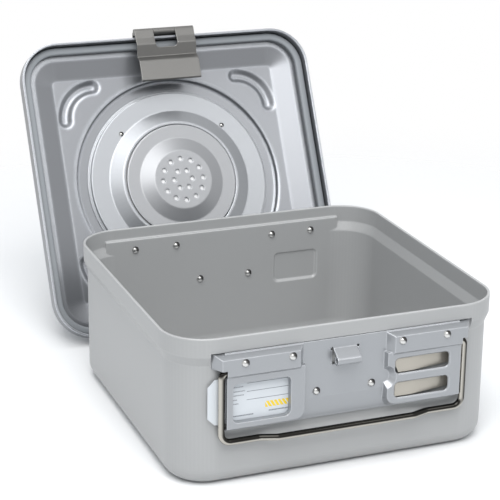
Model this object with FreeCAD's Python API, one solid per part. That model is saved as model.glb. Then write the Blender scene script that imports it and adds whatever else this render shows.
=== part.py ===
import FreeCAD, Part

import math
import os

from FreeCAD import Placement, Rotation, Vector

# Sterilization container: tub, handle plates and bails, and a loose lid that leans behind the tub.
# Millimetres. X right, Y back, Z up, origin at the middle of the tub's underside.

# Tub
collar_half_x = 145.0
collar_half_y = 140.5
collar_corner = 37.3
tub_height = 129.0
wall = 2.0
collar_step = 3.2
flare_low = 105.0
flare_high = 113.5
bottom_radius = 14.5
ledge_height = 116.5
ledge_half_width = 114.0
pocket_depth = 1.6
pocket_draft = 2.0

# Handle plate, pressed from one sheet
sheet = 1.5
plate_low = 48.5
plate_top_gap = 0.5
centre_rise = 3.2
centre_low = 67.0
panel_rise = 8.2
panel_inner_x = 34.0
panel_outer_x = 102.6
panel_draft = 2.5
panel_foot_draft = 4.0
panel_corner = 8.0
bar_inner_draft = 7.5
bar_outer_draft = 6.0
bar_top_draft = 3.5
bar_crease_z = (96.0, 98.5)
bar_outer_x = 113.0
ear_gap = 0.35
scallop_height = 77.0
scallop_radius = 6.0
scallop_spread = 4.5

# Label window, tag slots and what lies behind them
window_x = (48.3, 97.6)
window_z = (57.0, 91.0)
window_corner = 5.0
window_lip = 1.2
slot_x = (43.3, 92.0)
slot_low_z = (57.6, 78.8)
slot_tall = 13.3
slot_corner = 3.5
slot_dish = 1.2
slot_land = 0.7
card_thickness = 0.4
card_gap = 0.3
card_out = 14.2
card_past_window = 4.0
card_low_margin = 1.7
card_high_margin = 3.1
card_corner = 6.0
leaf_thickness = 0.5
leaf_foot = 6.5
leaf_ramp = 36.0
leaf_end = 44.0
leaf_gap = 0.4
leaf_side_gap = 0.6
leaf_bend = 55.0

# Catch, a rolled tongue cut from the plate
catch_half_width = 10.3
catch_slit = 1.0
catch_root_z = 107.0
catch_roll_z = 98.6
catch_roll_rise = 9.6
catch_roll_radius = 3.8
catch_window_z = 93.5
catch_relief = 1.3
catch_roll_turn = 290.0

# Plate rivets
rivet_shank = 1.6
rivet_hole_gap = 0.05
rivet_sides = 12
rivet_head = 3.0
rivet_head_tall = 1.9
rivet_shoulder = 2.8
bar_rivet_x = (48.0, 88.0)
bar_rivet_z = 108.4
centre_rivet_x = 24.3
centre_rivet_z = 72.3

# Bail
wire_radius = 2.75
wire_card_gap = 0.4
wire_back_gap = 0.4
axle_z = 100.2
leg_x = 106.4
stub_end_x = 84.0
grip_z = 40.5
grip_step = 4.5
step_outer_x = 74.0
step_inner_x = 60.0
top_bend = 4.5
foot_bend = 8.0
step_bend = 9.0

# Lid, modelled closed with its rim plane at Z = 0, then stood behind the tub
lid_margin = 5.0
lid_sheet = 2.0
lid_corner = 38.0
skirt_tall = 16.5
skirt_shoulder = 2.5
gasket_gap = 0.8
gasket_width = 7.2
gasket_tall = 6.5
dome_inset = 14.5
panel_inset = 34.0
dome_rise = 6.0
emboss_radius = 104.0
emboss_draft = 2.0
emboss_rise = 5.5
rib_bend = 32.0
rib_mouth = 15.0
rib_floor = 3.5
rib_rise = 4.5
rib_edge = 8.2
vent_radius = 3.5
vent_rings = ((16.0, 6), (36.0, 12))
lid_lean = 27.0
lid_stand_off = 39.0

# Filter ring, filter and its cover, as radius and height above the rim plane
ring_sheet = 1.2
ring_foot_radius = 94.0
ring_wall_radius = 90.6
ring_flat = 20.6
ring_slope_radius = 72.5
ring_lip_radius = 60.0
ring_lip = 14.8
ring_seat_wall = 58.2
ring_seat = 17.6
ring_seat_radius = 52.0
filter_thickness = 0.8
filter_side_gap = 0.7
cover_side_gap = 1.0
cover_seat_gap = 0.3
cover_flat = 13.4
cover_cone_radius = 43.0
cover_disc_radius = 29.5
cover_disc = 9.0
cover_hole = 2.25
cover_hole_rings = ((9.5, 6), (21.0, 12))
ring_rivet_radius = 75.4
ring_rivet_head = 2.2
ring_rivet_head_tall = 1.2
ring_rivet_shank = 1.2
ring_rivet_spacer = 2.2
sheet_bend = 1.4

# Latch and bracket
pin_radius = 1.8
pin_gap = 0.05
pin_out = 5.0
pin_below_rim = 0.5
latch_half_width = 31.0
knuckle_half_width = 11.2
knuckle_gap = 0.4
latch_sheet = 1.5
latch_flat = 7.0
latch_bulge = (14.0, 4.3)
latch_hook = (25.6, -0.4)
latch_grip = (31.0, 4.2)
latch_end = (50.5, 4.6)
latch_hem = 6.0
latch_hem_gap = 0.35
latch_hem_bend = 0.9
latch_bend = 1.6
notch_depth = 17.3
notch_corner = 4.0
bracket_top = 13.5
bracket_bend = 6.6
bracket_elbow = 2.9
bracket_wing_share = 0.75
bracket_rivet_x = 22.0
bracket_rivet_z = 10.2
bracket_rivet_head = 2.4
bracket_rivet_tall = 1.3

# Sizes that follow from the ones above
body_half_x = collar_half_x - collar_step
body_half_y = collar_half_y - collar_step
body_corner = collar_corner - collar_step
plate_top = ledge_height - plate_top_gap
card_back = pocket_depth + card_gap
wire_out = card_back + card_thickness + wire_card_gap + wire_radius
bar_rise = wire_out + wire_radius + wire_back_gap + sheet
ear_low = axle_z + wire_radius + ear_gap
bar_fold_draft = bar_rise * (bar_crease_z[1] - bar_crease_z[0]) / (bar_rise - panel_rise)
bar_low = bar_crease_z[1] - bar_fold_draft
lid_half_x = collar_half_x + lid_margin
lid_half_y = collar_half_y + lid_margin
lid_panel_corner = max(lid_sheet, lid_corner - panel_inset)
rib_slope = (rib_mouth - rib_floor) / 2 / rib_rise
channel = skirt_tall - lid_sheet
panel_under = channel + dome_rise
emboss_under = panel_under + emboss_rise
barrel_radius = pin_radius + pin_gap + latch_sheet
pin_y = -(lid_half_y + pin_out)
pin_z = -pin_below_rim

# Frame of the front wall: X along it, Y up it, Z straight out of it
front_wall = Placement(Vector(0, -body_half_y, 0), Rotation(Vector(1, 0, 0), 90))


def on_front(shape):
    """Move a shape from the wall's own frame to the tub's front."""
    moved = shape.copy()
    moved.Placement = front_wall.multiply(moved.Placement)
    return moved


def turned(shape):
    """Copy a shape from the front to the rear, half a turn about the vertical."""
    moved = shape.copy()
    moved.rotate(Vector(0, 0, 0), Vector(0, 0, 1), 180)
    return moved


def rounded_rect(half_x, half_y, radius, z):
    """Wire of a rectangle with round corners about the Z axis."""
    arcs = []
    for number, (sign_x, sign_y) in enumerate(((1, 1), (-1, 1), (-1, -1), (1, -1))):
        centre = Vector(sign_x * (half_x - radius), sign_y * (half_y - radius), z)
        points = []
        for share in (0.0, 0.5, 1.0):
            angle = math.radians(90 * (number + share))
            points.append(centre + Vector(math.cos(angle), math.sin(angle), 0) * radius)
        arcs.append(points)
    edges = []
    for number, points in enumerate(arcs):
        edges.append(Part.Arc(*points).toShape())
        edges.append(Part.LineSegment(points[2], arcs[(number + 1) % 4][0]).toShape())
    return Part.Wire(edges)


def prism(half_x, half_y, radius, low, high):
    """Upright block with round corners."""
    return Part.Face(rounded_rect(half_x, half_y, radius, low)).extrude(Vector(0, 0, high - low))


def between(low_wire, high_wire):
    """Straight-sided solid between two like outlines."""
    return Part.makeLoft([low_wire, high_wire], True, True)


def box(x, y, z):
    """Block from its three ranges."""
    return Part.makeBox(x[1] - x[0], y[1] - y[0], z[1] - z[0], Vector(x[0], y[0], z[0]))


def rod(radius, low, high, x=0.0, y=0.0):
    """Cylinder along Z."""
    return Part.makeCylinder(radius, high - low, Vector(x, y, low))


def fused(shapes):
    """One shape from several."""
    shapes = list(shapes)
    return shapes[0].fuse(shapes[1:]).removeSplitter()


def bent_strip(points, thickness, bends):
    """Face of a sheet of even thickness along a path, round at each inner point by one or by its own radius."""
    path = [Vector(u, v, 0) for u, v in points]
    if not isinstance(bends, (list, tuple)):
        bends = [bends] * (len(path) - 2)
    heading = [(b - a).normalize() for a, b in zip(path, path[1:])]
    normal = [Vector(-d.y, d.x, 0) for d in heading]

    def side(offset):
        edges = []
        start = path[0] + normal[0] * offset
        first = start
        for number in range(1, len(path) - 1):
            before = heading[number - 1]
            after = heading[number]
            bend = bends[number - 1]
            turn = math.atan2(before.x * after.y - before.y * after.x, before.dot(after))
            reach = bend * math.tan(abs(turn) / 2)
            hand = 1 if turn > 0 else -1
            tangent_in = path[number] - before * reach
            tangent_out = path[number] + after * reach
            centre = tangent_in + normal[number - 1] * (bend * hand)
            radius = bend - hand * offset
            middle = (path[number] - centre).normalize()
            arc_start = tangent_in + normal[number - 1] * offset
            arc_end = tangent_out + normal[number] * offset
            if start.distanceToPoint(arc_start) > 1e-6:
                edges.append(Part.LineSegment(start, arc_start).toShape())
            edges.append(Part.Arc(arc_start, centre + middle * radius, arc_end).toShape())
            start = arc_end
        last = path[-1] + normal[-1] * offset
        edges.append(Part.LineSegment(start, last).toShape())
        return edges, first, last

    left, left_first, left_last = side(thickness / 2)
    right, right_first, right_last = side(-thickness / 2)
    caps = [Part.LineSegment(left_first, right_first).toShape(),
            Part.LineSegment(left_last, right_last).toShape()]
    return Part.Face(Part.Wire(Part.__sortEdges__(left + right + caps)))


def spun(points, thickness):
    """Round sheet part with mitred corners: a path of radius and height, turned about the Z axis."""
    path = [Vector(radius, 0, height) for radius, height in points]
    heading = [(b - a).normalize() for a, b in zip(path, path[1:])]
    normal = [Vector(-d.z, 0, d.x) for d in heading]
    outward = [normal[0]]
    for before, after in zip(normal, normal[1:]):
        outward.append((before + after) / (1 + before.dot(after)))
    outward.append(normal[-1])
    section = [point + away * (thickness / 2) for point, away in zip(path, outward)]
    section += [point - away * (thickness / 2) for point, away in reversed(list(zip(path, outward)))]
    face = Part.Face(Part.makePolygon(section + section[:1]))
    return face.revolve(Vector(0, 0, 0), Vector(0, 0, 1), 360)


def stud(radius, low, high):
    """Rivet shank or hole along Z, with few flat sides because there are so many of them."""
    corners = [Vector(radius * math.cos(2 * math.pi * number / rivet_sides),
                      radius * math.sin(2 * math.pi * number / rivet_sides), low) for number in range(rivet_sides)]
    return Part.Face(Part.makePolygon(corners + corners[:1])).extrude(Vector(0, 0, high - low))


def crowned(radius, tall, z, out):
    """Rivet head on the Z axis, its rim cut back, standing up or down."""
    low, high = sorted((z, z + out * tall))
    head = stud(radius, low, high)
    rim = [edge for edge in head.Edges
           if edge.BoundBox.ZLength < 1e-6 and abs(edge.CenterOfMass.z - (z + out * tall)) < 1e-6]
    return head.makeChamfer(tall * 0.55, rim)


def rivet(under, shoulder_top, face, shank, shoulder, head, head_tall, hidden_head):
    """Rivet along Z from the far side of the wall to the head on the outer sheet."""
    pieces = [stud(shank, under, face), crowned(head, head_tall, face, 1)]
    if shoulder_top > 0:
        pieces.append(stud(shoulder, 0, shoulder_top))
    if hidden_head:
        pieces.append(crowned(head, head_tall, under, -1))
    return fused(pieces)


def at(shape, x, y):
    """Copy of a shape moved in X and Y."""
    moved = shape.copy()
    moved.translate(Vector(x, y, 0))
    return moved


def polar(shape, rings):
    """Copies of a shape on rings of radius and count."""
    copies = []
    for radius, count in rings:
        for number in range(count):
            angle = 2 * math.pi * number / count
            copies.append(at(shape, radius * math.cos(angle), radius * math.sin(angle)))
    return copies


def plate_rivet_places():
    """Rivet axes on the wall, with how far the plate stands off there."""
    places = []
    for x in bar_rivet_x:
        places += [(x, bar_rivet_z, bar_rise), (-x, bar_rivet_z, bar_rise)]
    for x in (centre_rivet_x, -centre_rivet_x):
        places.append((x, centre_rivet_z, centre_rise))
    return places


def tub_shell():
    """Drawn tub: body, flared collar, a sharp ledge over each plate, label pockets, rivet holes."""

    def form(inset):
        """Outside of the tub, or its inside when inset by the wall."""
        half_x = body_half_x - inset
        half_y = body_half_y - inset
        corner = body_corner - inset
        body = prism(half_x, half_y, corner, inset, tub_height)
        foot = [edge for edge in body.Edges if edge.BoundBox.ZMax < inset + 0.01]
        body = body.makeFillet(bottom_radius - inset, foot)
        step = collar_step
        flare = between(rounded_rect(half_x, half_y, corner, flare_low),
                        rounded_rect(half_x + step, half_y + step, corner + step, flare_high))
        collar = prism(half_x + step, half_y + step, corner + step, flare_high, tub_height)
        whole = fused((body, flare, collar))
        reach = 2 * collar_step
        ledge = box((-ledge_half_width - inset, ledge_half_width + inset),
                    (-half_y - reach, -half_y), (flare_low - wall, ledge_height + inset))
        return whole.cut([ledge, turned(ledge)])

    def pocket(inset):
        """Raised label backing on the front wall, in the wall's frame."""
        middle_x = -sum(window_x) / 2
        middle_z = sum(window_z) / 2
        half_x = (window_x[1] - window_x[0]) / 2 - inset
        half_z = (window_z[1] - window_z[0]) / 2 - inset
        wires = []
        for rise, grow in ((-inset, pocket_draft), (pocket_depth - inset, 0.0)):
            wires.append(rounded_rect(half_x - pocket_draft + grow, half_z - pocket_draft + grow,
                                      window_corner - inset + grow, rise))
        return at(between(*wires), middle_x, middle_z)

    outside = form(0.0)
    inside = form(wall)
    lift = on_front(pocket(0.0))
    sink = on_front(pocket(wall))
    outside = fused((outside, lift, turned(lift)))
    collar_mouth = prism(collar_half_x - wall, collar_half_y - wall, collar_corner - wall,
                         tub_height - wall, tub_height + wall)
    holes = []
    for x, z, _ in plate_rivet_places():
        hole = on_front(at(stud(rivet_shank + rivet_hole_gap, -2 * wall, wall), x, z))
        holes += [hole, turned(hole)]
    return outside.cut([inside, collar_mouth, sink, turned(sink)] + holes)


def raised(x, y, rise, draft, corner, inset, open_outer):
    """Raised form on the wall with a draft on each side: inner, outer, bottom and top."""
    inner, outer, bottom, top = draft
    tall = rise - inset

    def back(width):
        return inset * math.hypot(rise, width) / rise

    outer_shift = -4 * sheet if open_outer else back(outer)
    base = (x[0] + back(inner), x[1] - outer_shift, y[0] + back(bottom), y[1] - back(top))
    share = tall / rise
    face = (base[0] + inner * share, base[1] - outer * share,
            base[2] + bottom * share, base[3] - top * share)

    def outline(edge, z):
        x0, x1, y0, y1 = edge
        corners = [Vector(x0 + corner, y0, z), Vector(x1, y0, z), Vector(x1, y1, z),
                   Vector(x0, y1, z), Vector(x0, y0 + corner, z)]
        middle = Vector(x0 + corner * (1 - math.sqrt(0.5)), y0 + corner * (1 - math.sqrt(0.5)), z)
        edges = [Part.LineSegment(a, b).toShape() for a, b in zip(corners, corners[1:])]
        edges.append(Part.Arc(corners[-1], middle, corners[0]).toShape())
        return Part.Wire(edges)

    return between(outline(base, 0.0), outline(face, tall))


def scallop_at(height, inset):
    """Radius of the thumb scallop at a height off the wall, outside or inside the sheet."""
    deep = panel_rise - centre_rise
    around = inset * math.hypot(scallop_spread, deep) / deep
    return scallop_radius + around + scallop_spread * (height - centre_rise + inset) / deep


def plate_form(inset):
    """Outer shape of the pressed plate, or the hollow behind it when inset by the sheet."""
    if inset:
        profile = ((plate_low + sheet, -sheet), (plate_low + sheet, 0), (centre_low, centre_rise - inset),
                   (plate_top + sheet, centre_rise - inset), (plate_top + sheet, -sheet))
    else:
        profile = ((plate_low, 0), (plate_low, sheet), (plate_low + sheet, sheet),
                   (centre_low, centre_rise), (plate_top, centre_rise), (plate_top, 0))
    points = [Vector(-panel_outer_x, y, z) for y, z in profile]
    centre = Part.Face(Part.makePolygon(points + points[:1])).extrude(Vector(2 * panel_outer_x, 0, 0))
    panel = raised((panel_inner_x, panel_outer_x), (plate_low, bar_crease_z[1]), panel_rise,
                   (panel_draft, 0, panel_foot_draft, 0), panel_corner, inset, True if inset else False)
    bar = raised((panel_inner_x, bar_outer_x), (bar_low, plate_top), bar_rise,
                 (bar_inner_draft, bar_outer_draft, bar_fold_draft, bar_top_draft), 0.5, inset, False)
    side = panel.fuse(bar)
    low = centre_rise - inset
    high = low + 2 * (panel_rise - centre_rise)
    scallop = Part.makeCone(scallop_at(low, inset), scallop_at(high, inset), high - low,
                            Vector(panel_inner_x, scallop_height, low))
    return fused((centre, side.cut(scallop), side.mirror(Vector(0, 0, 0), Vector(1, 0, 0))))


def catch():
    """Rolled tongue of the plate: a strap that slants out and curls round."""
    middle = catch_roll_radius - sheet / 2
    root = Vector(catch_root_z, centre_rise - sheet / 2, 0)
    centre = Vector(catch_roll_z, catch_roll_rise, 0)
    to_centre = centre - root
    lead = math.atan2(to_centre.y, to_centre.x) - math.asin(middle / to_centre.Length)
    run = math.sqrt(to_centre.Length ** 2 - middle ** 2)
    tangent = root + Vector(math.cos(lead), math.sin(lead), 0) * run
    start = math.atan2(tangent.y - centre.y, tangent.x - centre.x)
    end = start + math.radians(catch_roll_turn)
    rim = []
    for radius in (catch_roll_radius, catch_roll_radius - sheet):
        rim.append([centre + Vector(math.cos(a), math.sin(a), 0) * radius
                    for a in (start, (start + end) / 2, end)])
    curl = Part.Face(Part.Wire([Part.Arc(*rim[0]).toShape(),
                                Part.LineSegment(rim[0][2], rim[1][2]).toShape(),
                                Part.Arc(rim[1][2], rim[1][1], rim[1][0]).toShape(),
                                Part.LineSegment(rim[1][0], rim[0][0]).toShape()]))
    strap = bent_strip(((catch_root_z + 2 * sheet, root.y), (root.x, root.y), (tangent.x, tangent.y)),
                       sheet, sheet)
    pieces = []
    for face in (curl, strap):
        solid = face.extrude(Vector(0, 0, 2 * catch_half_width))
        solid.Placement = Placement(Vector(-catch_half_width, 0, 0),
                                    Rotation(Vector(1, 1, 1), 120)).multiply(solid.Placement)
        pieces.append(solid)
    return fused(pieces)


def handle_plate():
    """Pressed plate with bar and ears, label window, tag slots, scallop and catch."""
    plate = plate_form(0.0).cut(plate_form(sheet))
    far = 2 * bar_outer_x
    notch = box((panel_outer_x, far), (0, ear_low), (-sheet, 2 * bar_rise))
    plate = plate.cut([notch, notch.mirror(Vector(0, 0, 0), Vector(1, 0, 0))])

    middle_x = -sum(window_x) / 2
    middle_z = sum(window_z) / 2
    half_x = (window_x[1] - window_x[0]) / 2
    half_z = (window_z[1] - window_z[0]) / 2
    lip_low = card_back + card_thickness + card_gap
    lip = prism(half_x + window_lip, half_z + window_lip, window_corner + window_lip,
                lip_low, panel_rise - sheet / 2)
    hole = prism(half_x, half_z, window_corner, -sheet, 2 * bar_rise)
    plate = plate.fuse(at(lip, middle_x, middle_z)).cut(at(hole, middle_x, middle_z))

    slot_half_x = (slot_x[1] - slot_x[0]) / 2
    for low in slot_low_z:
        slot = prism(slot_half_x, slot_tall / 2, slot_corner, 0, 2 * bar_rise)
        dish = between(rounded_rect(slot_half_x, slot_tall / 2, slot_corner, panel_rise - sheet + slot_land),
                       rounded_rect(slot_half_x + slot_dish, slot_tall / 2 + slot_dish,
                                    slot_corner + slot_dish, panel_rise))
        place = (sum(slot_x) / 2, low + slot_tall / 2)
        plate = plate.cut([at(slot, *place), at(dish, *place)])

    reach = catch_half_width + catch_slit
    opening = [box((-reach, reach), (catch_window_z, catch_root_z), (0, centre_rise + sheet))]
    for x in (-reach, reach):
        opening.append(rod(catch_relief, 0, centre_rise + sheet, x, catch_root_z))
    holes = []
    for x, z, _ in plate_rivet_places():
        holes.append(at(stud(rivet_shank + rivet_hole_gap, -sheet, 2 * bar_rise), x, z))
    return plate.cut(opening + holes).fuse(catch()).removeSplitter()


def plate_rivets():
    """Six rivets; those of the bar have a shoulder that holds it off the wall."""
    rivets = []
    for x, z, rise in plate_rivet_places():
        one = rivet(-wall, rise - sheet, rise, rivet_shank, rivet_shoulder, rivet_head, rivet_head_tall, True)
        rivets.append(at(one, x, z))
    return Part.makeCompound(rivets)


def spring_leaf():
    """Bowed leaf with one tongue behind each tag slot and a foot flat on the wall."""
    top = panel_rise - sheet - leaf_gap - leaf_thickness / 2
    foot = leaf_thickness / 2
    outer = panel_outer_x - leaf_side_gap
    ramp = outer - leaf_foot
    face = bent_strip(((outer, foot), (ramp, foot), (ramp - leaf_ramp, top), (leaf_end, top)),
                      leaf_thickness, leaf_bend)
    tongues = []
    for low in slot_low_z:
        tongue = face.extrude(Vector(0, 0, slot_tall - 2 * leaf_side_gap))
        tongue.rotate(Vector(0, 0, 0), Vector(1, 0, 0), 90)
        tongue.translate(Vector(0, low + slot_tall - leaf_side_gap, 0))
        tongues.append(tongue)
    root = box((ramp + leaf_foot / 2, outer), (slot_low_z[0] + leaf_side_gap,
                                               slot_low_z[1] + slot_tall - leaf_side_gap),
               (0, leaf_thickness))
    relief = rod(scallop_at(top + leaf_thickness, sheet) + leaf_gap, 0, panel_rise, panel_inner_x, scallop_height)
    return fused(tongues + [root]).cut(relief)


def label_card():
    """Card in the window, with clipped outer corners."""
    left = -(panel_outer_x + card_out)
    right = -(window_x[0] - card_past_window)
    low = window_z[0] - card_low_margin
    high = window_z[1] + card_high_margin
    points = [Vector(right, low, card_back), Vector(right, high, card_back),
              Vector(left + card_corner, high, card_back), Vector(left, high - card_corner, card_back),
              Vector(left, low + card_corner, card_back), Vector(left + card_corner, low, card_back)]
    return Part.Face(Part.makePolygon(points + points[:1])).extrude(Vector(0, 0, card_thickness))


def bail():
    """Wire bail: stubs under the bar, legs, and a grip stepped out from the wall."""
    route = [(stub_end_x, axle_z, wire_out), (leg_x, axle_z, wire_out), (leg_x, grip_z, wire_out),
             (step_outer_x, grip_z, wire_out), (step_inner_x, grip_z, wire_out + grip_step)]
    bends = [top_bend, foot_bend, step_bend, step_bend]
    route += [(-x, y, z) for x, y, z in reversed(route)]
    bends += list(reversed(bends))
    points = [Vector(*point) for point in route]
    edges = []
    start = points[0]
    for number, bend in enumerate(bends, 1):
        before = (points[number] - points[number - 1]).normalize()
        after = (points[number + 1] - points[number]).normalize()
        reach = bend * math.tan(before.getAngle(after) / 2)
        arc_in = points[number] - before * reach
        arc_out = points[number] + after * reach
        inward = (after - before).normalize()
        centre = points[number] + inward * (bend / math.cos(before.getAngle(after) / 2))
        edges.append(Part.LineSegment(start, arc_in).toShape())
        edges.append(Part.Arc(arc_in, centre - inward * bend, arc_out).toShape())
        start = arc_out
    edges.append(Part.LineSegment(start, points[-1]).toShape())
    section = Part.Wire(Part.makeCircle(wire_radius, points[0], Vector(1, 0, 0)))
    return Part.Wire(edges).makePipeShell([section], True, True)


def lid_shell():
    """Drawn lid: skirt, gasket channel, dome, round emboss, corner ribs and vents."""

    def form(inset):
        """Outside of the lid, or its hollow when inset by the sheet."""
        low = -lid_sheet if inset else 0.0
        top = skirt_tall - inset
        half_x = lid_half_x - inset
        half_y = lid_half_y - inset
        skirt = prism(half_x, half_y, lid_corner - inset, low, top)
        crown = [edge for edge in skirt.Edges if edge.BoundBox.ZMin > top - 0.01]
        if not inset:
            skirt = skirt.makeChamfer(skirt_shoulder, crown)
        grow = lid_sheet - inset
        dome_low = rounded_rect(lid_half_x - dome_inset + grow, lid_half_y - dome_inset + grow,
                                lid_corner - dome_inset + grow, top)
        dome_high = rounded_rect(lid_half_x - panel_inset + grow, lid_half_y - panel_inset + grow,
                                 lid_panel_corner + grow, top + dome_rise)
        crest = top + dome_rise
        emboss = Part.makeCone(emboss_radius + emboss_draft + grow, emboss_radius + grow, emboss_rise,
                               Vector(0, 0, crest))
        centre_x = lid_half_x - panel_inset - rib_edge - rib_bend
        centre_y = lid_half_y - panel_inset - rib_edge - rib_bend
        widen = grow * (math.hypot(1, rib_slope) - rib_slope)
        ribs = []
        for sign_x, sign_y, first in ((1, 1, 0), (-1, 1, 90), (-1, -1, 180), (1, -1, 270)):
            ribs.append(corner_rib(sign_x * centre_x, sign_y * centre_y, first, rib_mouth / 2 + widen,
                                   rib_floor / 2 + widen, crest))
        return fused([skirt, between(dome_low, dome_high), emboss] + ribs)

    vents = polar(rod(vent_radius, emboss_under - lid_sheet, emboss_under + 2 * lid_sheet), vent_rings)
    cut = [form(lid_sheet)] + vents
    hole = stud(ring_rivet_shank + rivet_hole_gap, ring_flat, emboss_under + 2 * lid_sheet)
    cut += [at(hole, x, y) for x, y in ring_rivet_places()]
    for hole in bracket_rivet_holes():
        cut += [hole, turned(hole)]
    return form(0.0).cut(cut)


def corner_rib(x, y, first, half_mouth, half_floor, low):
    """Quarter-round bead with sloping sides and round ends, bent about a corner of the lid."""
    high = low + rib_rise
    section = [Vector(x + rib_bend - half_mouth, y, low), Vector(x + rib_bend + half_mouth, y, low),
               Vector(x + rib_bend + half_floor, y, high), Vector(x + rib_bend - half_floor, y, high)]
    bead = Part.Face(Part.makePolygon(section + section[:1])).revolve(Vector(x, y, 0), Vector(0, 0, 1), 90)
    bead.rotate(Vector(x, y, 0), Vector(0, 0, 1), first)
    pieces = [bead]
    for angle in (first, first + 90):
        turn = math.radians(angle)
        place = Vector(x + rib_bend * math.cos(turn), y + rib_bend * math.sin(turn), low)
        pieces.append(Part.makeCone(half_mouth, half_floor, rib_rise, place))
    return fused(pieces)


def ring_rivet_places():
    """Four fixings of the filter ring, on the diagonals."""
    reach = ring_rivet_radius * math.sqrt(0.5)
    return [(sign_x * reach, sign_y * reach) for sign_x in (1, -1) for sign_y in (1, -1)]


def lid_gasket():
    """Seal in the channel inside the skirt."""
    outset = lid_sheet + gasket_gap
    low = channel - gasket_tall
    outer = prism(lid_half_x - outset, lid_half_y - outset, lid_corner - outset, low, channel)
    inset = outset + gasket_width
    inner = prism(lid_half_x - inset, lid_half_y - inset, lid_corner - inset, low - 1, channel + 1)
    return outer.cut(inner)


def filter_ring():
    """Stepped ring that carries the filter, pressed from one sheet."""
    foot = emboss_under - ring_sheet / 2
    ring = spun(((ring_foot_radius, foot), (ring_wall_radius, foot), (ring_wall_radius, ring_flat),
                 (ring_slope_radius, ring_flat), (ring_lip_radius, ring_lip), (ring_seat_wall, ring_lip),
                 (ring_seat_wall, ring_seat), (ring_seat_radius, ring_seat)), ring_sheet)
    hole = stud(ring_rivet_shank + rivet_hole_gap, ring_flat - ring_sheet, ring_flat + ring_sheet)
    return ring.cut([at(hole, x, y) for x, y in ring_rivet_places()])


def filter_disc():
    """Round filter on the ring's seat."""
    radius = ring_seat_wall - ring_sheet / 2 - filter_side_gap
    under = ring_seat - ring_sheet / 2
    return rod(radius, under - filter_thickness, under)


def filter_cover():
    """Dished cover that closes the filter, with its field of holes."""
    edge = ring_seat_wall - ring_sheet / 2 - cover_side_gap - ring_sheet / 2
    seat = ring_seat - ring_sheet / 2 - filter_thickness - cover_seat_gap
    dish = spun(((edge, seat), (edge, cover_flat), (cover_cone_radius, cover_flat),
                 (cover_disc_radius, cover_disc), (0.0, cover_disc)), ring_sheet)
    hole = rod(cover_hole, cover_disc - ring_sheet, cover_disc + ring_sheet)
    return dish.cut(polar(hole, cover_hole_rings))


def filter_rivets():
    """Four spacer rivets between the ring and the lid."""
    under = ring_flat - ring_sheet / 2
    top = emboss_under + lid_sheet
    one = fused((stud(ring_rivet_shank, under, top),
                 stud(ring_rivet_spacer, ring_flat + ring_sheet / 2, emboss_under),
                 crowned(ring_rivet_head, ring_rivet_head_tall, under, -1),
                 crowned(ring_rivet_head, ring_rivet_head_tall, top, 1)))
    return Part.makeCompound([at(one, x, y) for x, y in ring_rivet_places()])


def along_x(face, half_width):
    """Extrude a face of Y and Z both ways along X."""
    solid = face.extrude(Vector(0, 0, 2 * half_width))
    solid.Placement = Placement(Vector(-half_width, 0, 0),
                                Rotation(Vector(1, 1, 1), 120)).multiply(solid.Placement)
    return solid


def barrel(radius, bore, x):
    """Tube round the hinge pin, over a range of X."""
    outer = Part.makeCylinder(radius, x[1] - x[0], Vector(x[0], pin_y, pin_z), Vector(1, 0, 0))
    inner = Part.makeCylinder(bore, x[1] - x[0], Vector(x[0], pin_y, pin_z), Vector(1, 0, 0))
    return outer.cut(inner)


def latch():
    """Front latch, folded in under the rim: two barrels, a bulge, a hook groove and a hemmed grip."""
    level = barrel_radius - latch_sheet / 2
    hem = latch_end[1] - latch_sheet - latch_hem_gap
    path = ((0, level), (latch_flat, level), latch_bulge, latch_hook, latch_grip, latch_end,
            (latch_end[0], hem), (latch_end[0] - latch_hem, hem))
    bends = [latch_bend] * 4 + [latch_hem_bend] * 2
    face = bent_strip([(pin_y + s, pin_z - t) for s, t in path], latch_sheet, bends)
    plate = along_x(face, latch_half_width)
    gap = knuckle_half_width + knuckle_gap
    notch = prism(gap, notch_depth, notch_corner, pin_z - 4 * barrel_radius, pin_z + 4 * barrel_radius)
    notch = at(notch, 0, pin_y)
    plate = plate.cut(notch)
    pieces = [plate]
    for x in ((-latch_half_width, -gap), (gap, latch_half_width)):
        pieces.append(barrel(barrel_radius, pin_radius + pin_gap, x))
    bore = Part.makeCylinder(pin_radius + pin_gap, 2 * latch_half_width,
                             Vector(-latch_half_width, pin_y, pin_z), Vector(1, 0, 0))
    return fused(pieces).cut(bore)


def latch_bracket():
    """Hinge bracket: a plate on the skirt, wings behind the latch and a knuckle round the pin."""
    plate_y = -(lid_half_y + latch_sheet / 2)
    level = barrel_radius - latch_sheet / 2
    elbow = (pin_y - level, bracket_elbow)
    wing = (plate_y + bracket_wing_share * (elbow[0] - plate_y),
            bracket_bend + bracket_wing_share * (elbow[1] - bracket_bend))
    wings = along_x(bent_strip(((plate_y, bracket_top), (plate_y, bracket_bend), wing),
                               latch_sheet, sheet_bend), latch_half_width)
    arm = along_x(bent_strip(((plate_y, bracket_top), (plate_y, bracket_bend), elbow,
                              (elbow[0], pin_z)), latch_sheet, sheet_bend), knuckle_half_width)
    knuckle = barrel(barrel_radius, pin_radius + pin_gap, (-knuckle_half_width, knuckle_half_width))
    return fused((wings, arm, knuckle)).cut(bracket_rivet_holes())


def latch_pin():
    """Hinge pin through the latch's barrels and the bracket's knuckle."""
    return Part.makeCylinder(pin_radius, 2 * latch_half_width,
                             Vector(-latch_half_width, pin_y, pin_z), Vector(1, 0, 0))


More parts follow.
